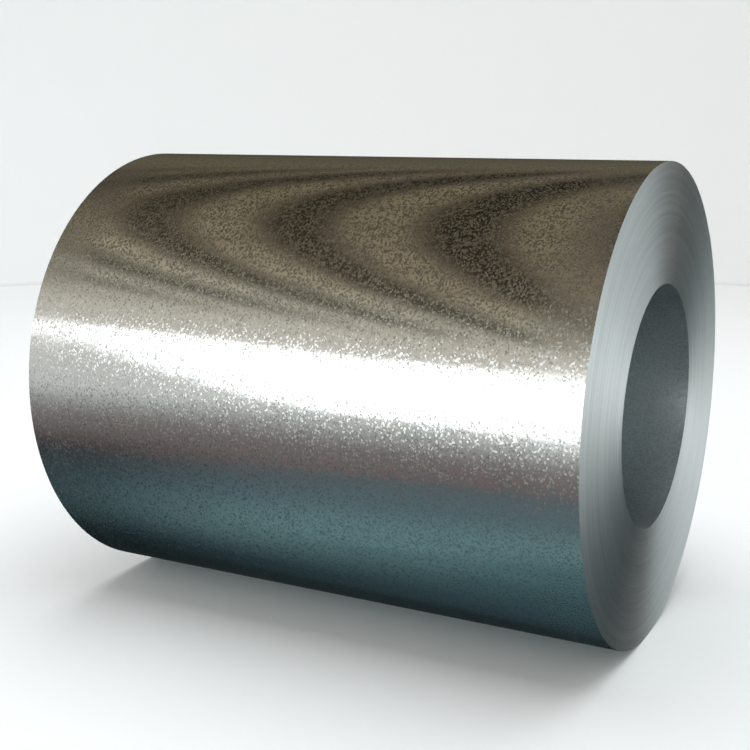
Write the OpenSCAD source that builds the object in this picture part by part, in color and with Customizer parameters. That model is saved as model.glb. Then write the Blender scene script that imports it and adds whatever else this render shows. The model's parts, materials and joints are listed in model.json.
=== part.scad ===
// Galvanised steel coil: one long strip wound on itself, lying on its side.
// The axis of the bore runs along X, the floor is at Z = 0, and the origin lies under the coil's middle.
// The edges of the turns show on both ends as lands with a groove between each two. The strip's tail
// lies at the back: the outermost turn is missing past it, so the coil rests with that light side on top.

/* [Coil] */
// Width of the strip, which is the length of the coil
strip_w = 1250; // [600:1:1600]
// Thickness of the strip
strip_t = 2; // [1:0.1:4]
// Number of turns between the bore and the outside
turns = 125; // [40:1:200]
// Diameter of the bore, left by the mandrel that the strip was wound on
bore_d = 508; // [400:1:762]

/* [Strip edge] */
// Width of the groove between the rounded edges of two turns
groove_w = 0.7; // [0.2:0.05:0.9]
// Depth of that groove
groove_d = 0.5; // [0.1:0.05:1]

/* [Tail] */
// Angle from straight down to the tail, round towards the back
tail_at = 131; // [0:1:360]
// Angle from the tail on to where the turn beneath it has come up to the full size
run_out = 150; // [120:1:165]

/* [Hidden] */
$fn = 180;

bore_r = bore_d / 2;
outer_r = bore_r + turns * strip_t;

// Outline of one end of the coil, from the bore to the outside. Each turn is a land, and its two
// corners are rounded off to half a groove each. The two outermost turns share one land, because
// the tail ends there.
function end_outline() = [
    for (turn = [0 : turns - 3])
        let (r = bore_r + turn * strip_t)
            each [
                [r, strip_w / 2 - groove_d],
                [r + groove_w / 2, strip_w / 2],
                [r + strip_t - groove_w / 2, strip_w / 2]
            ],
    [outer_r - 2 * strip_t, strip_w / 2 - groove_d],
    [outer_r - 2 * strip_t + groove_w / 2, strip_w / 2],
    [outer_r, strip_w / 2]
];

// The same outline on the opposite end, from the outside back to the bore
function opposite(outline) = [
    for (i = [len(outline) - 1 : -1 : 0]) [outline[i].x, -outline[i].y]
];

// What is missing past the tail, which points along X here. The outside drops by one thickness there
// and then follows a circle that is set off from the axis, so that it comes up to the full size.
module past_tail() {
    set_off = strip_t / (1 - cos(run_out));
    difference() {
        translate([-2 * outer_r, 0, -strip_w])
            cube([4 * outer_r, 2 * outer_r, 2 * strip_w]);
        translate([-set_off, 0, -2 * strip_w])
            cylinder(r = outer_r - strip_t + set_off, h = 4 * strip_w);
    }
}

module coil() {
    outline = end_outline();
    color("#b4b9bb")
        translate([0, 0, outer_r])
            rotate([0, 90, 0])
                rotate([0, 0, tail_at])
                    difference() {
                        rotate_extrude()
                            polygon(concat(outline, opposite(outline)));
                        past_tail();
                    }
}

coil();
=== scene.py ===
import json
import math

import bpy
import numpy as np
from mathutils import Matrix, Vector


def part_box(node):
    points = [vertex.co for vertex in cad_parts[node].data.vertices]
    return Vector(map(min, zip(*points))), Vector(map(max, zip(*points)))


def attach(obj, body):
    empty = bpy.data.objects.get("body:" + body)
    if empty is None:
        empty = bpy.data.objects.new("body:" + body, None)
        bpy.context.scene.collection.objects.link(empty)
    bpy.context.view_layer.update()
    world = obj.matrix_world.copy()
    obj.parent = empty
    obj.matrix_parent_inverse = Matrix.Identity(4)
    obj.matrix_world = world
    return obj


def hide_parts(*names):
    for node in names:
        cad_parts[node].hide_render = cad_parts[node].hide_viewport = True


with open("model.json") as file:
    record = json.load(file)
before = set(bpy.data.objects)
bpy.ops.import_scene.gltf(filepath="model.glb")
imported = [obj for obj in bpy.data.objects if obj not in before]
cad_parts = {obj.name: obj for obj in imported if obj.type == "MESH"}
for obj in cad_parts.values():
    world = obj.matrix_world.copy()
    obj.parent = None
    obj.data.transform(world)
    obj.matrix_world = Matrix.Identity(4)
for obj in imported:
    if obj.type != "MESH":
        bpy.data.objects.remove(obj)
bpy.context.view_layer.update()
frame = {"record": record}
scene = bpy.context.scene

# The wound strip
# One steel strip, cold rolled, galvanised in a bath of zinc, slit to width and wound tight on a mandrel
# that was drawn out again. The slit edges of its turns make up the two ends, and its tail lies at the back.
MM = 0.001
bore = next(mount for mount in frame["record"]["mounts"] if mount["name"] == "bore")
bore_r = bore["dims"]["r_mm"] * MM
axis_z = bore["pos_m"][2]
coil_low, coil_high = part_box("coil")
strip_w = coil_high.x - coil_low.x
outer_r = axis_z
strip_t = 2 * MM
edge_round = 0.35 * MM
tail_at = math.radians(131)
steps_per_turn = 116
turns = round((outer_r - bore_r) / strip_t) - 0.5
pitch = (outer_r - bore_r) / (turns + 1)
head_at = tail_at - math.tau * turns
slow_wander = 0.9 * MM
quick_wander = 0.14 * MM
weld_gap = 0.3 * MM


def add_node(tree, kind, inputs=None, **settings):
    """Add a node, set it up, and set or link its inputs, each given by its name or its place."""
    node = tree.nodes.new(kind)
    for name, value in settings.items():
        setattr(node, name, value)
    for key, value in (inputs or {}).items():
        if isinstance(value, bpy.types.NodeSocket):
            tree.links.new(value, node.inputs[key])
        else:
            node.inputs[key].default_value = value
    return node


def linear(hex_colour):
    """Turn an sRGB hex colour into the linear RGBA that the nodes take."""
    parts = [int(hex_colour[i:i + 2], 16) / 255 for i in (1, 3, 5)]
    return tuple(c / 12.92 if c <= 0.04045 else ((c + 0.055) / 1.055) ** 2.4 for c in parts) + (1.0,)


def new_material(name):
    """Make a material, and return it with its node tree and its shader."""
    material = bpy.data.materials.new(name)
    material.use_nodes = True
    return material, material.node_tree, material.node_tree.nodes["Principled BSDF"]


# Hot-dip galvanised zinc: a bright metal face that mirrors what is round it. Its small crystals, the
# spangle, are about real size. Most lie flat, and the rest lean and are a little duller and darker, so
# a reflection breaks up into specks along its border. The face is hazier along the strip's edges, and
# the innermost turn is dull all over, because the mandrel rubbed it.
def galvanised_face():
    material, tree, shader = new_material("hot_dip_galvanised_zinc")
    flat_crystal = "#E5E9EA"
    leaning_crystal = "#CACFD1"
    spangle_along = 3.6 * MM
    spangle_across = 3.2 * MM
    lean_from = 0.44
    lean_full = 0.62
    spangle_tilt = 0.125
    spangle_dull = 0.16
    bright = 0.1
    hazy = 0.15
    rubbed = 0.36
    cloud = 120 * MM
    haze_width = 105 * MM
    haze_border = 80 * MM
    haze_wobble = 40 * MM
    # The hairlines that the rolls leave are finer than this, and drawn as coarse as they need to show
    hairline_length = 400 * MM
    hairline_width = 3 * MM
    hairline_least = 0.5
    run = add_node(tree, "ShaderNodeUVMap", uv_map="run").outputs[0]

    # Each crystal's lean, which grows from none to its full size between two limits
    crystal_place = add_node(tree, "ShaderNodeVectorMath", {
        0: run, 1: (1 / spangle_along, 1 / spangle_across, 1)}, operation="MULTIPLY").outputs[0]
    crystal = add_node(tree, "ShaderNodeTexVoronoi", {
        "Vector": crystal_place, "Scale": 1.0}, voronoi_dimensions="2D").outputs["Color"]
    lean = add_node(tree, "ShaderNodeVectorMath", {
        0: crystal, 1: (0.5, 0.5, 0.5)}, operation="SUBTRACT").outputs[0]
    lean_size = add_node(tree, "ShaderNodeVectorMath", {0: lean}, operation="LENGTH").outputs["Value"]
    leaning = add_node(tree, "ShaderNodeMapRange", {
        "Value": lean_size, "From Min": lean_from, "From Max": lean_full},
        interpolation_type="SMOOTHSTEP").outputs[0]
    strength = add_node(tree, "ShaderNodeMath", {
        0: leaning, 1: spangle_tilt}, operation="MULTIPLY").outputs[0]
    tilt = add_node(tree, "ShaderNodeVectorMath", {0: lean, "Scale": strength}, operation="SCALE").outputs[0]
    upright = add_node(tree, "ShaderNodeNewGeometry").outputs["Normal"]
    tilted = add_node(tree, "ShaderNodeVectorMath", {0: upright, 1: tilt}, operation="ADD").outputs[0]
    tilted = add_node(tree, "ShaderNodeVectorMath", {0: tilted}, operation="NORMALIZE").outputs[0]
    tree.links.new(tilted, shader.inputs["Normal"])

    # The colour, paler where a crystal lies flat, with hairlines along the strip
    hairline_place = add_node(tree, "ShaderNodeVectorMath", {
        0: run, 1: (1 / hairline_length, 1 / hairline_width, 1)}, operation="MULTIPLY").outputs[0]
    hairline = add_node(tree, "ShaderNodeTexNoise", {
        "Vector": hairline_place, "Scale": 1.0, "Detail": 3.0}, noise_dimensions="2D").outputs["Fac"]
    hairline = add_node(tree, "ShaderNodeMapRange", {
        "Value": hairline, "To Min": hairline_least, "To Max": 1.0}).outputs[0]
    lying_flat = add_node(tree, "ShaderNodeMath", {0: 1.0, 1: leaning}, operation="SUBTRACT").outputs[0]
    paleness = add_node(tree, "ShaderNodeMath", {
        0: hairline, 1: lying_flat}, operation="MULTIPLY").outputs[0]
    zinc = add_node(tree, "ShaderNodeMix", {
        0: paleness, 6: linear(leaning_crystal), 7: linear(flat_crystal)}, data_type="RGBA").outputs[2]
    tree.links.new(zinc, shader.inputs["Base Color"])

    # The roughness, with a cloudy haze along both edges of the strip
    clouds = add_node(tree, "ShaderNodeTexNoise", {
        "Vector": run, "Scale": 1 / cloud, "Detail": 3.0}, noise_dimensions="2D").outputs["Fac"]
    run_parts = add_node(tree, "ShaderNodeSeparateXYZ", {0: run}).outputs
    off_middle = add_node(tree, "ShaderNodeMath", {0: run_parts["Y"]}, operation="ABSOLUTE").outputs[0]
    off_middle = add_node(tree, "ShaderNodeMath", {
        0: clouds, 1: haze_wobble, 2: off_middle}, operation="MULTIPLY_ADD").outputs[0]
    haze_from = (strip_w + haze_wobble) / 2 - haze_width
    roughness = add_node(tree, "ShaderNodeMapRange", {
        "Value": off_middle, "From Min": haze_from - haze_border / 2, "From Max": haze_from + haze_border / 2,
        "To Min": bright, "To Max": hazy}, interpolation_type="SMOOTHSTEP").outputs[0]
    roughness = add_node(tree, "ShaderNodeMath", {
        0: leaning, 1: spangle_dull, 2: roughness}, operation="MULTIPLY_ADD").outputs[0]
    inner_turn = add_node(tree, "ShaderNodeMath", {
        0: run_parts["X"], 1: math.tau * (bore_r + 2 * pitch)}, operation="LESS_THAN").outputs[0]
    rubbing = add_node(tree, "ShaderNodeMath", {0: inner_turn, 1: rubbed}, operation="MULTIPLY").outputs[0]
    roughness = add_node(tree, "ShaderNodeMath", {0: roughness, 1: rubbing}, operation="MAXIMUM").outputs[0]
    tree.links.new(roughness, shader.inputs["Roughness"])
    shader.inputs["Metallic"].default_value = 1.0
    return material


# Slit steel edge: bare sheared metal, duller than the zinc. The shear and the turns draw it out round
# the coil, so light smears across the turns into a fan on each side of the bore. Single turns are too
# fine to show from a few metres, so their shades change in rings of four or five turns.
def slit_edge():
    material, tree, shader = new_material("slit_steel_edge")
    dark_ring = "#CAD0D0"
    light_ring = "#DEE3E3"
    ring_limits = (0.3, 0.7)
    ring_width = 9 * MM
    ring_change = 0.7
    spot = add_node(tree, "ShaderNodeTexCoord").outputs["Object"]
    off_axis = add_node(tree, "ShaderNodeVectorMath", {
        0: spot, 1: (0, 0, axis_z)}, operation="SUBTRACT").outputs[0]
    off_axis = add_node(tree, "ShaderNodeVectorMath", {
        0: off_axis, 1: (0, 1, 1)}, operation="MULTIPLY").outputs[0]
    distance = add_node(tree, "ShaderNodeVectorMath", {0: off_axis}, operation="LENGTH").outputs["Value"]
    direction = add_node(tree, "ShaderNodeVectorMath", {0: off_axis}, operation="NORMALIZE").outputs[0]
    ring_count = add_node(tree, "ShaderNodeMath", {
        0: distance, 1: 1 / ring_width}, operation="MULTIPLY").outputs[0]
    ring_step = add_node(tree, "ShaderNodeCombineXYZ", {"X": ring_count}).outputs[0]
    ring_place = add_node(tree, "ShaderNodeVectorMath", {
        0: direction, "Scale": ring_change}, operation="SCALE").outputs[0]
    ring_place = add_node(tree, "ShaderNodeVectorMath", {
        0: ring_place, 1: ring_step}, operation="ADD").outputs[0]
    rings = add_node(tree, "ShaderNodeTexNoise", {
        "Vector": ring_place, "Scale": 1.0, "Detail": 4.0, "Roughness": 0.7}).outputs["Fac"]
    steel = add_node(tree, "ShaderNodeValToRGB", {"Fac": rings})
    for stop, limit, colour in zip(steel.color_ramp.elements, ring_limits, (dark_ring, light_ring)):
        stop.position = limit
        stop.color = linear(colour)
    tree.links.new(steel.outputs["Color"], shader.inputs["Base Color"])
    round_axis = add_node(tree, "ShaderNodeTangent", direction_type="RADIAL", axis="X").outputs[0]
    tree.links.new(round_axis, shader.inputs["Tangent"])
    shader.inputs["Anisotropic"].default_value = 0.66
    shader.inputs["Anisotropic Rotation"].default_value = 0.25
    shader.inputs["Roughness"].default_value = 0.51
    shader.inputs["Metallic"].default_value = 1.0
    return material


# The strip's section is swept along the spiral that it was wound on. Its faces between two turns can't
# be seen, so they are left out and the turns are welded into one closed skin.
wind = bpy.data.node_groups.new("wind_strip", "GeometryNodeTree")
wind_sizes = {
    "Bore Radius": bore_r,
    "Pitch": pitch,
    "Turns": turns,
    "Steps per Turn": float(steps_per_turn),
    "Head Angle": head_at,
    "Strip Width": strip_w,
    "Edge Round": edge_round,
    "Slow Wander": slow_wander,
    "Quick Wander": quick_wander,
    "Weld Gap": weld_gap,
    "Axis Height": axis_z,
}
wind_materials = {"Face": galvanised_face(), "Edge": slit_edge()}
for name in wind_sizes:
    wind.interface.new_socket(name, in_out="INPUT", socket_type="NodeSocketFloat")
for name in wind_materials:
    wind.interface.new_socket(name, in_out="INPUT", socket_type="NodeSocketMaterial")
wind.interface.new_socket("Coil", in_out="OUTPUT", socket_type="NodeSocketGeometry")
size = add_node(wind, "NodeGroupInput").outputs

# The spiral, a point for each step, with the strip wandering a little to and fro along the axis
wobbles_per_turn = {"Slow Wander": 0.05, "Quick Wander": 0.8}
steps = add_node(wind, "ShaderNodeMath", {
    0: size["Turns"], 1: size["Steps per Turn"]}, operation="MULTIPLY").outputs[0]
points = add_node(wind, "ShaderNodeMath", {0: steps, 1: 1.0}, operation="ADD").outputs[0]
line = add_node(wind, "GeometryNodeMeshLine", {"Count": points})
thread = add_node(wind, "GeometryNodeMeshToCurve", {"Mesh": line.outputs[0]})
step = add_node(wind, "GeometryNodeInputIndex").outputs[0]
turn = add_node(wind, "ShaderNodeMath", {
    0: step, 1: size["Steps per Turn"]}, operation="DIVIDE").outputs[0]
angle = add_node(wind, "ShaderNodeMath", {
    0: turn, 1: math.tau, 2: size["Head Angle"]}, operation="MULTIPLY_ADD").outputs[0]
mid_strip = add_node(wind, "ShaderNodeMath", {0: turn, 1: 0.5}, operation="ADD").outputs[0]
radius = add_node(wind, "ShaderNodeMath", {
    0: mid_strip, 1: size["Pitch"], 2: size["Bore Radius"]}, operation="MULTIPLY_ADD").outputs[0]
cosine = add_node(wind, "ShaderNodeMath", {0: angle}, operation="COSINE").outputs[0]
sine = add_node(wind, "ShaderNodeMath", {0: angle}, operation="SINE").outputs[0]
spiral_x = add_node(wind, "ShaderNodeMath", {0: radius, 1: cosine}, operation="MULTIPLY").outputs[0]
spiral_y = add_node(wind, "ShaderNodeMath", {0: radius, 1: sine}, operation="MULTIPLY").outputs[0]
spiral_z = 0.0
for name, wobbles in wobbles_per_turn.items():
    wobble = add_node(wind, "ShaderNodeMath", {0: turn, 1: wobbles}, operation="MULTIPLY").outputs[0]
    wander = add_node(wind, "ShaderNodeTexNoise", {
        "W": wobble, "Scale": 1.0}, noise_dimensions="1D").outputs["Fac"]
    wander = add_node(wind, "ShaderNodeMath", {0: wander, 1: 0.5}, operation="SUBTRACT").outputs[0]
    wander = add_node(wind, "ShaderNodeMath", {0: wander, 1: size[name]}, operation="MULTIPLY").outputs[0]
    spiral_z = add_node(wind, "ShaderNodeMath", {0: spiral_z, 1: wander}, operation="ADD").outputs[0]
spiral_place = add_node(wind, "ShaderNodeCombineXYZ", {
    "X": spiral_x, "Y": spiral_y, "Z": spiral_z}).outputs[0]
spiral = add_node(wind, "GeometryNodeSetPosition", {"Geometry": thread.outputs[0], "Position": spiral_place})
spiral = add_node(wind, "GeometryNodeSetCurveNormal", {"Curve": spiral.outputs[0]}, mode="Z_UP")
numbered = add_node(wind, "GeometryNodeCaptureAttribute", {"Geometry": spiral.outputs[0]})
numbered.capture_items.new("FLOAT", "turn")
wind.links.new(turn, numbered.inputs["turn"])
turn_number = numbered.outputs["turn"]

# The section of the strip, a flat bar with its four corners broken
section = add_node(wind, "GeometryNodeCurvePrimitiveQuadrilateral", {
    "Width": size["Pitch"], "Height": size["Strip Width"]})
section = add_node(wind, "GeometryNodeFilletCurve", {
    "Curve": section.outputs[0], "Count": 1, "Radius": size["Edge Round"]}, mode="POLY")
strip = add_node(wind, "GeometryNodeCurveToMesh", {
    "Curve": numbered.outputs[0], "Profile Curve": section.outputs[0], "Fill Caps": True})
strip = add_node(wind, "GeometryNodeStoreNamedAttribute", {
    "Geometry": strip.outputs[0], "Name": "turn", "Value": turn_number}, data_type="FLOAT", domain="CORNER")

# Which faces are the strip's two broad faces, and which of those are hidden between two turns
broad_reach = 0.25
broad_facing = 0.5
face_place = add_node(wind, "GeometryNodeInputPosition").outputs[0]
face_z = add_node(wind, "ShaderNodeSeparateXYZ", {0: face_place}).outputs["Z"]
face_z = add_node(wind, "ShaderNodeMath", {0: face_z}, operation="ABSOLUTE").outputs[0]
reach = add_node(wind, "ShaderNodeMath", {
    0: size["Strip Width"], 1: broad_reach}, operation="MULTIPLY").outputs[0]
broad = add_node(wind, "ShaderNodeMath", {0: face_z, 1: reach}, operation="LESS_THAN").outputs[0]
outward = add_node(wind, "ShaderNodeVectorMath", {
    0: face_place, 1: (1, 1, 0)}, operation="MULTIPLY").outputs[0]
outward = add_node(wind, "ShaderNodeVectorMath", {0: outward}, operation="NORMALIZE").outputs[0]
face_normal = add_node(wind, "GeometryNodeInputNormal").outputs[0]
facing = add_node(wind, "ShaderNodeVectorMath", {
    0: face_normal, 1: outward}, operation="DOT_PRODUCT").outputs["Value"]
outside = add_node(wind, "ShaderNodeMath", {0: facing, 1: broad_facing}, operation="GREATER_THAN").outputs[0]
inside = add_node(wind, "ShaderNodeMath", {0: facing, 1: -broad_facing}, operation="LESS_THAN").outputs[0]
last_turn = add_node(wind, "ShaderNodeMath", {0: size["Turns"], 1: 1.0}, operation="SUBTRACT").outputs[0]
covered = add_node(wind, "ShaderNodeMath", {0: turn_number, 1: last_turn}, operation="LESS_THAN").outputs[0]
covering = add_node(wind, "ShaderNodeMath", {0: turn_number, 1: 1.0}, operation="GREATER_THAN").outputs[0]
hidden_out = add_node(wind, "ShaderNodeMath", {0: outside, 1: covered}, operation="MULTIPLY").outputs[0]
hidden_in = add_node(wind, "ShaderNodeMath", {0: inside, 1: covering}, operation="MULTIPLY").outputs[0]
hidden = add_node(wind, "ShaderNodeMath", {0: hidden_out, 1: hidden_in}, operation="ADD").outputs[0]
hidden = add_node(wind, "ShaderNodeMath", {0: hidden, 1: broad}, operation="MULTIPLY").outputs[0]
skin = add_node(wind, "GeometryNodeDeleteGeometry", {
    "Geometry": strip.outputs[0], "Selection": hidden}, domain="FACE")
skin = add_node(wind, "GeometryNodeMergeByDistance", {
    "Geometry": skin.outputs[0], "Distance": size["Weld Gap"]})

# Smooth round the coil and over the edges of the turns, sharp where a broad face ends
least_share = 0.1
most_share = 0.9
fold = math.radians(30)
marked = add_node(wind, "GeometryNodeCaptureAttribute", {"Geometry": skin.outputs[0]}, domain="FACE")
marked.capture_items.new("FLOAT", "broad")
wind.links.new(broad, marked.inputs["broad"])
broad_share = add_node(wind, "GeometryNodeFieldOnDomain", {
    0: marked.outputs["broad"]}, data_type="FLOAT", domain="EDGE").outputs[0]
some = add_node(wind, "ShaderNodeMath", {0: broad_share, 1: least_share}, operation="GREATER_THAN").outputs[0]
not_all = add_node(wind, "ShaderNodeMath", {0: broad_share, 1: most_share}, operation="LESS_THAN").outputs[0]
border = add_node(wind, "ShaderNodeMath", {0: some, 1: not_all}, operation="MULTIPLY").outputs[0]
bend = add_node(wind, "GeometryNodeInputMeshEdgeAngle").outputs["Unsigned Angle"]
folded = add_node(wind, "ShaderNodeMath", {0: bend, 1: fold}, operation="GREATER_THAN").outputs[0]
sharp = add_node(wind, "ShaderNodeMath", {0: border, 1: folded}, operation="MAXIMUM").outputs[0]
skin = add_node(wind, "GeometryNodeStoreNamedAttribute", {
    "Geometry": marked.outputs[0], "Name": "sharp_edge", "Value": sharp}, data_type="BOOLEAN", domain="EDGE")
skin = add_node(wind, "GeometryNodeSetShadeSmooth", {"Geometry": skin.outputs[0]})

# Laid on its side, with its axis along X
lift = add_node(wind, "ShaderNodeCombineXYZ", {"Z": size["Axis Height"]}).outputs[0]
skin = add_node(wind, "GeometryNodeTransform", {
    "Geometry": skin.outputs[0], "Translation": lift, "Rotation": (0, math.radians(90), 0)})
skin = add_node(wind, "GeometryNodeRealizeInstances", {"Geometry": skin.outputs[0]})
skin = add_node(wind, "GeometryNodeSetMaterial", {"Geometry": skin.outputs[0], "Material": size["Edge"]})
skin = add_node(wind, "GeometryNodeSetMaterial", {
    "Geometry": skin.outputs[0], "Selection": marked.outputs["broad"], "Material": size["Face"]})
add_node(wind, "NodeGroupOutput", {0: skin.outputs[0]})

coil = bpy.data.objects.new("wound_strip", bpy.data.meshes.new("wound_strip"))
scene.collection.objects.link(coil)
winding = coil.modifiers.new("winding", "NODES")
winding.node_group = wind
wind_inputs = {**wind_sizes, **wind_materials}
for socket in wind.interface.items_tree:
    if socket.in_out == "INPUT":
        winding[socket.identifier] = wind_inputs[socket.name]
wound = coil.evaluated_get(bpy.context.evaluated_depsgraph_get())
coil.data = bpy.data.meshes.new_from_object(wound)
coil.data.name = "wound_strip"
coil.modifiers.remove(winding)

# Two maps of the skin: run gives the length along the strip and the place across it, for the patterns,
# and OFBake lays the outside, the two ends, the bore and the strip's two cut ends side by side.
mesh = coil.data
corner_count = len(mesh.loops)
face_count = len(mesh.polygons)
corner_vertex = np.empty(corner_count, int)
mesh.loops.foreach_get("vertex_index", corner_vertex)
vertex_places = np.empty(len(mesh.vertices) * 3)
mesh.vertices.foreach_get("co", vertex_places)
face_corners = np.empty(face_count, int)
mesh.polygons.foreach_get("loop_total", face_corners)
face_centres = np.empty(face_count * 3)
mesh.polygons.foreach_get("center", face_centres)
face_normals = np.empty(face_count * 3)
mesh.polygons.foreach_get("normal", face_normals)
corner_turn = np.empty(corner_count)
mesh.attributes["turn"].data.foreach_get("value", corner_turn)
mesh.attributes.remove(mesh.attributes["turn"])

# Each corner's place, with the middle and the normal of its face, all measured from the axis
axis = np.array((0.0, 0.0, axis_z))
corner = vertex_places.reshape(-1, 3)[corner_vertex] - axis
middle = np.repeat(face_centres.reshape(-1, 3), face_corners, axis=0) - axis
normal = np.repeat(face_normals.reshape(-1, 3), face_corners, axis=0)
corner_angle = np.arctan2(corner[:, 1], corner[:, 2])
middle_angle = np.arctan2(middle[:, 1], middle[:, 2])
middle_distance = np.hypot(middle[:, 1], middle[:, 2])
turned_out = (normal[:, 1] * middle[:, 1] + normal[:, 2] * middle[:, 2]) / middle_distance
is_broad = np.abs(middle[:, 0]) < broad_reach * strip_w
is_outside = is_broad & (turned_out > broad_facing)
is_bore = is_broad & (turned_out < -broad_facing)
is_cut_end = is_broad & (np.abs(turned_out) <= broad_facing)

length_along = math.tau * (bore_r * corner_turn + pitch * (corner_turn + corner_turn ** 2) / 2)
run_map = np.stack([length_along, corner[:, 0]], axis=1)

map_width = 0.98
row_gap = 0.1
whole_angle = middle_angle + (corner_angle - middle_angle + math.pi) % math.tau - math.pi
around = 0.5 + map_width * whole_angle / math.tau
across = 0.5 + corner[:, 0] / strip_w
depth = (np.hypot(corner[:, 1], corner[:, 2]) - bore_r) / (outer_r - bore_r)
bake_rows = (
    (0.00, 0.50, is_outside, around, across),
    (0.50, 0.67, ~is_broad & (middle[:, 0] > 0), around, depth),
    (0.67, 0.84, ~is_broad & (middle[:, 0] < 0), around, depth),
    (0.84, 0.98, is_bore, around, across),
    (0.98, 1.00, is_cut_end, depth, across),
)
bake_map = np.zeros((corner_count, 2))
for row_low, row_high, chosen, map_x, map_y in bake_rows:
    gap = row_gap * (row_high - row_low)
    bake_map[chosen, 0] = map_x[chosen]
    bake_map[chosen, 1] = row_low + gap / 2 + (row_high - row_low - gap) * map_y[chosen]
for name, places in (("run", run_map), ("OFBake", bake_map)):
    layer = mesh.uv_layers.new(name=name)
    layer.uv.foreach_set("vector", places.astype(np.float32).ravel())

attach(coil, "root")
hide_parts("coil")

# The studio
# A floor of pale paper that sweeps up into a wall all round, lit by a soft lamp above. The metal doesn't
# mirror it: it mirrors a plain hall, with a row of windows at the front and a soft box at the right.
floor_r = 6.0
sweep_r = 2.0
sweep_points = 13
wall_top = 7.0
floor_sides = 96
profile = [(floor_r + sweep_r * math.sin(bend_angle), sweep_r * (1 - math.cos(bend_angle)))
           for bend_angle in np.linspace(0, math.pi / 2, sweep_points)]
profile.append((floor_r + sweep_r, wall_top))
floor_points = []
floor_faces = []
for ring, (ring_r, ring_z) in enumerate(profile):
    for side in range(floor_sides):
        side_angle = math.tau * side / floor_sides
        floor_points.append((ring_r * math.cos(side_angle), ring_r * math.sin(side_angle), ring_z))
        if ring:
            here = ring * floor_sides
            below = here - floor_sides
            after = (side + 1) % floor_sides
            floor_faces.append((below + side, below + after, here + after, here + side))
floor_faces.append(tuple(range(floor_sides)))
floor_mesh = bpy.data.meshes.new("studio_floor")
floor_mesh.from_pydata(floor_points, [], floor_faces)
floor_mesh.polygons.foreach_set("use_smooth", [len(face) == 4 for face in floor_faces])
floor = bpy.data.objects.new("studio_floor", floor_mesh)
scene.collection.objects.link(floor)

# Pale studio paper: matt, with no shine of its own
paper, paper_tree, paper_shader = new_material("pale_studio_paper")
paper_shader.inputs["Base Color"].default_value = linear("#F4F4F3")
paper_shader.inputs["Roughness"].default_value = 0.9
paper_shader.inputs["Specular IOR Level"].default_value = 0.0
floor_mesh.materials.append(paper)
floor.visible_glossy = False


def soft_box(name, place, aim, width, height, radiance, colour):
    """Hang a rectangular lamp that gives the same light all over its face."""
    lamp = bpy.data.lights.new(name, "AREA")
    lamp.shape = "RECTANGLE"
    lamp.size = width
    lamp.size_y = height
    lamp.energy = 4 * width * height * radiance
    lamp.color = linear(colour)[:3]
    box = bpy.data.objects.new(name, lamp)
    box.location = place
    box.rotation_euler = (Vector(aim) - Vector(place)).to_track_quat("-Z", "Y").to_euler()
    box.visible_camera = False
    scene.collection.objects.link(box)
    return box


# The lamp for the floor, which the metal doesn't mirror
floor_lamp = soft_box(
    "floor_lamp", place=(0.0, 0.0, 6.5), aim=(0.0, 0.001, 0.0), width=7.0, height=7.0,
    radiance=2.0, colour="#F6FAFF")
floor_lamp.visible_glossy = False

# The windows, each from its left side to its right side and from its sill to its top, and the soft box.
# They light the metal alone, so that they throw no hard shadow on the floor.
metal = bpy.data.collections.new("metal")
metal.objects.link(coil)
coil_middle = (0.0, 0.0, axis_z)
window_y = -3.5
windows = (
    (-3.9, -3.3, 1.62, 2.05),
    (-3.3, -3.0, 1.45, 2.05),
    (-3.0, -2.75, 1.22, 2.02),
    (-2.75, -2.5, 0.98, 2.00),
    (-2.5, -2.25, 0.74, 1.97),
    (-2.25, -2.0, 0.52, 1.93),
    (-2.0, -1.7, 0.34, 1.88),
    (-1.7, 1.4, 0.22, 1.85),
)
for number, (left, right, sill, top) in enumerate(windows):
    window_x = (left + right) / 2
    window_z = (sill + top) / 2
    window = soft_box(
        "window_%d" % number, place=(window_x, window_y, window_z), aim=(window_x, 0.0, window_z),
        width=right - left, height=top - sill, radiance=1.4, colour="#FFFFFF")
    window.light_linking.receiver_collection = metal
right_box = soft_box(
    "right_box", place=(3.8, 0.9, 0.6), aim=coil_middle, width=2.6, height=0.8,
    radiance=2.4, colour="#FFFFFF")
right_box.light_linking.receiver_collection = metal

# The light that comes in through the far opening of the bore
bore_lamp = soft_box(
    "bore_lamp", place=(-strip_w / 2, 0.0, axis_z), aim=coil_middle, width=2 * bore_r, height=2 * bore_r,
    radiance=1.0, colour="#E0F2F2")
bore_lamp.data.shape = "ELLIPSE"

# The hall's shades, by degrees above the horizon: a front with pale light and a dark back, both with a
# cool floor and a warm roof
front_shades = (
    (-90, "#3C5558"),
    (-66, "#4E686C"),
    (-57, "#6A8789"),
    (-46, "#5F7479"),
    (-34, "#5C676B"),
    (-31, "#756766"),
    (-20, "#7C7470"),
    (-14, "#9C9994"),
    (-6, "#D6D6D0"),
    (20, "#D0C8BC"),
    (30, "#D2C8B6"),
    (40, "#C8BDA4"),
    (47, "#B4A68C"),
    (55, "#9E8E76"),
    (90, "#8A7B64"),
)
back_shades = (
    (-90, "#3C5558"),
    (-60, "#33444A"),
    (-45, "#1F2729"),
    (-10, "#2A2A26"),
    (15, "#5A5545"),
    (28, "#6A624F"),
    (42, "#786C5A"),
    (52, "#8A7D64"),
    (90, "#8A7B64"),
)
ripple_scale = 4.0
ripple_height = 0.05
hall = bpy.data.worlds.new("dim_hall")
hall.use_nodes = True
hall_tree = hall.node_tree
sky = add_node(hall_tree, "ShaderNodeTexCoord").outputs["Generated"]
heading = add_node(hall_tree, "ShaderNodeSeparateXYZ", {0: sky}).outputs
ripple = add_node(hall_tree, "ShaderNodeTexNoise", {
    "Vector": sky, "Scale": ripple_scale, "Detail": 3.0}).outputs["Fac"]
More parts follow.
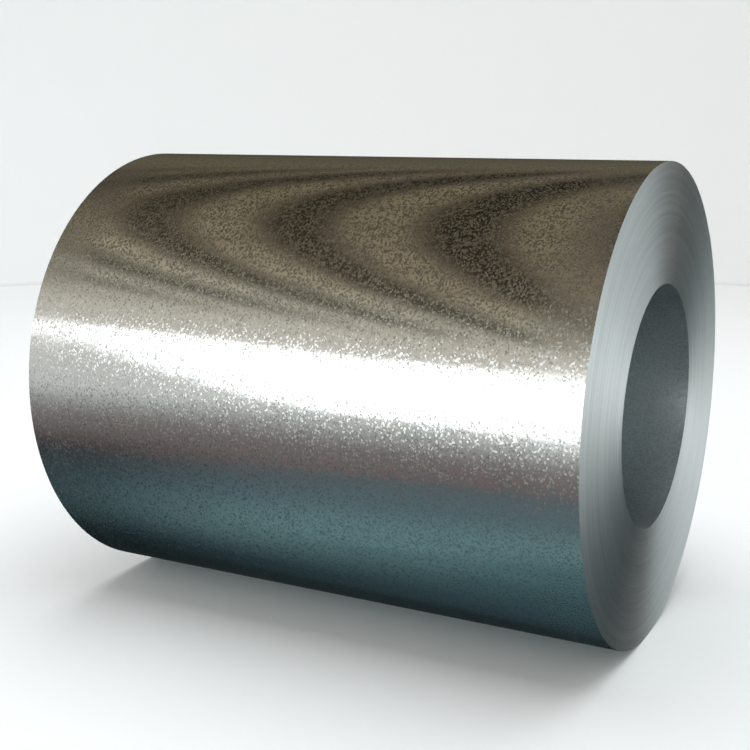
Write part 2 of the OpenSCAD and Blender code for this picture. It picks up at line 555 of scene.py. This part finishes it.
ripple = add_node(hall_tree, "ShaderNodeMapRange", {
    "Value": ripple, "To Min": 0.5 - ripple_height, "To Max": 0.5 + ripple_height}).outputs[0]
rise = add_node(hall_tree, "ShaderNodeMath", {
    0: heading["Z"], 1: 0.5, 2: ripple}, operation="MULTIPLY_ADD").outputs[0]
hall_walls = []
for shades in (front_shades, back_shades):
    wall = add_node(hall_tree, "ShaderNodeValToRGB", {"Fac": rise})
    stops = wall.color_ramp.elements
    while len(stops) < len(shades):
        stops.new(1.0)
    for stop, (degrees, colour) in zip(stops, shades):
        stop.position = (math.sin(math.radians(degrees)) + 1) / 2
        stop.color = linear(colour)
    hall_walls.append(wall.outputs["Color"])
front_wall, back_wall = hall_walls

# How far a direction lies in each part of the hall, from its border to where the part is full
hall_parts = {
    "back": ("Y", -0.3, 0.3),
    "roof": ("Z", 0.45, 0.6),
    "left": ("X", -0.5, -0.7),
    "floor": ("Z", -0.35, -0.55),
    "right": ("X", -0.1, 0.1),
}
within = {}
for part, (heading_axis, part_border, part_full) in hall_parts.items():
    within[part] = add_node(hall_tree, "ShaderNodeMapRange", {
        "Value": heading[heading_axis], "From Min": part_border, "From Max": part_full},
        interpolation_type="SMOOTHSTEP").outputs[0]
hall_shade = add_node(hall_tree, "ShaderNodeMix", {
    0: within["back"], 6: front_wall, 7: back_wall}, data_type="RGBA").outputs[2]

# Beams along and across the roof: the axis across them, where the first one lies, half their spacing,
# half their width, and the light that is left on them, all at a height of one
roof_beams = (
    ("X", 0.78, 0.085, 0.045, 0.05),
    ("Y", -0.05, 0.12, 0.015, 0.75),
)
beam_blur = 0.02
roof_light = 1.0
for beam_axis, first_beam, half_spacing, half_width, beam_light in roof_beams:
    roof_place = add_node(hall_tree, "ShaderNodeMath", {
        0: heading[beam_axis], 1: heading["Z"]}, operation="DIVIDE").outputs[0]
    roof_place = add_node(hall_tree, "ShaderNodeMath", {
        0: roof_place, 1: first_beam}, operation="ADD").outputs[0]
    off_beam = add_node(hall_tree, "ShaderNodeMath", {
        0: roof_place, 1: half_spacing}, operation="PINGPONG").outputs[0]
    beam = add_node(hall_tree, "ShaderNodeMapRange", {
        "Value": off_beam, "From Min": half_width - beam_blur / 2, "From Max": half_width + beam_blur / 2,
        "To Min": beam_light, "To Max": 1.0}, interpolation_type="SMOOTHSTEP").outputs[0]
    roof_light = add_node(hall_tree, "ShaderNodeMath", {
        0: roof_light, 1: beam}, operation="MULTIPLY").outputs[0]
roof_light = add_node(hall_tree, "ShaderNodeMix", {0: within["roof"], 2: 1.0, 3: roof_light}).outputs[0]
hall_shade = add_node(hall_tree, "ShaderNodeVectorMath", {
    0: hall_shade, "Scale": roof_light}, operation="SCALE").outputs[0]

# A darker corner of the floor at the left
corner_light = 0.25
floor_corner = add_node(hall_tree, "ShaderNodeMath", {
    0: within["left"], 1: within["floor"]}, operation="MULTIPLY").outputs[0]
floor_corner = add_node(hall_tree, "ShaderNodeMapRange", {
    "Value": floor_corner, "To Min": 1.0, "To Max": corner_light}).outputs[0]
hall_shade = add_node(hall_tree, "ShaderNodeVectorMath", {
    0: hall_shade, "Scale": floor_corner}, operation="SCALE").outputs[0]

# A pale side at the right, round a direction that leads up to it
pale_side = "#DBE1E2"
pale_heading = Vector((4, 0, 3)).normalized()
pale_border = 0.28
pale_full = 0.58
to_pale = add_node(hall_tree, "ShaderNodeVectorMath", {
    0: sky, 1: pale_heading}, operation="DOT_PRODUCT").outputs["Value"]
to_pale = add_node(hall_tree, "ShaderNodeMapRange", {
    "Value": to_pale, "From Min": pale_border, "From Max": pale_full},
    interpolation_type="SMOOTHSTEP").outputs[0]
to_pale = add_node(hall_tree, "ShaderNodeMath", {
    0: to_pale, 1: within["right"]}, operation="MULTIPLY").outputs[0]
hall_shade = add_node(hall_tree, "ShaderNodeMix", {
    0: to_pale, 6: hall_shade, 7: linear(pale_side)}, data_type="RGBA").outputs[2]
hall_tree.links.new(hall_shade, hall_tree.nodes["Background"].inputs["Color"])
scene.world = hall

camera_place = Vector((1.2717, -2.4796, 1.0831))
camera_aim = Vector((-0.0303, -0.0143, 0.5115))
camera_data = bpy.data.cameras.new("camera")
camera_data.sensor_width = 36.0
camera_data.lens = 59.36
camera = bpy.data.objects.new("camera", camera_data)
camera.location = camera_place
camera.rotation_euler = (camera_aim - camera_place).to_track_quat("-Z", "Y").to_euler()
scene.collection.objects.link(camera)
scene.camera = camera
scene.view_settings.view_transform = "Standard"
